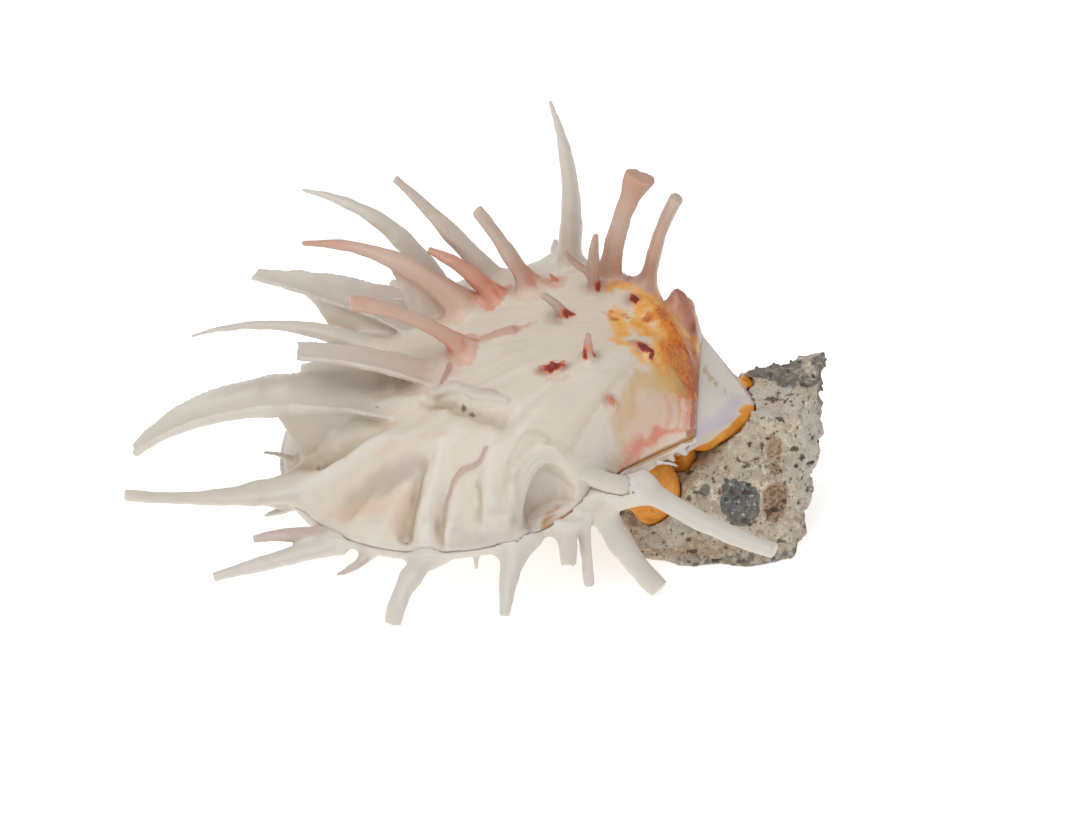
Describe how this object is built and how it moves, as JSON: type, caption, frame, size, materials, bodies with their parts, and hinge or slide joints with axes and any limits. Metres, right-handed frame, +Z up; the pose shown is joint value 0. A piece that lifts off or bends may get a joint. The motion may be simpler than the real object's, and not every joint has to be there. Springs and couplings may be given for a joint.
{
  "type": "thorny oyster shell",
  "caption": "Closed thorny oyster shell with long curved spines, still grown to a lump of conglomerate stone, for a shelf or a display case.",
  "frame": {"origin": "middle of the whole part's footprint, on the surface that it stands on", "axes": "+X from the free edge of the valves to the hinge and the stone, +Z up"},
  "size_m": [0.1524, 0.1196, 0.0927],
  "materials": {
    "upper_shell": "satin cream shell with pink spines and an orange hinge end",
    "lower_shell": "satin white shell, orange-yellow where it meets the stone",
    "stone": "rough matt conglomerate with pits and dark pebbles"
  },
  "bodies": {
    "root": {"upper_valve": "upper_shell", "lower_valve": "lower_shell", "stone": "stone"}
  },
  "joints": []
}
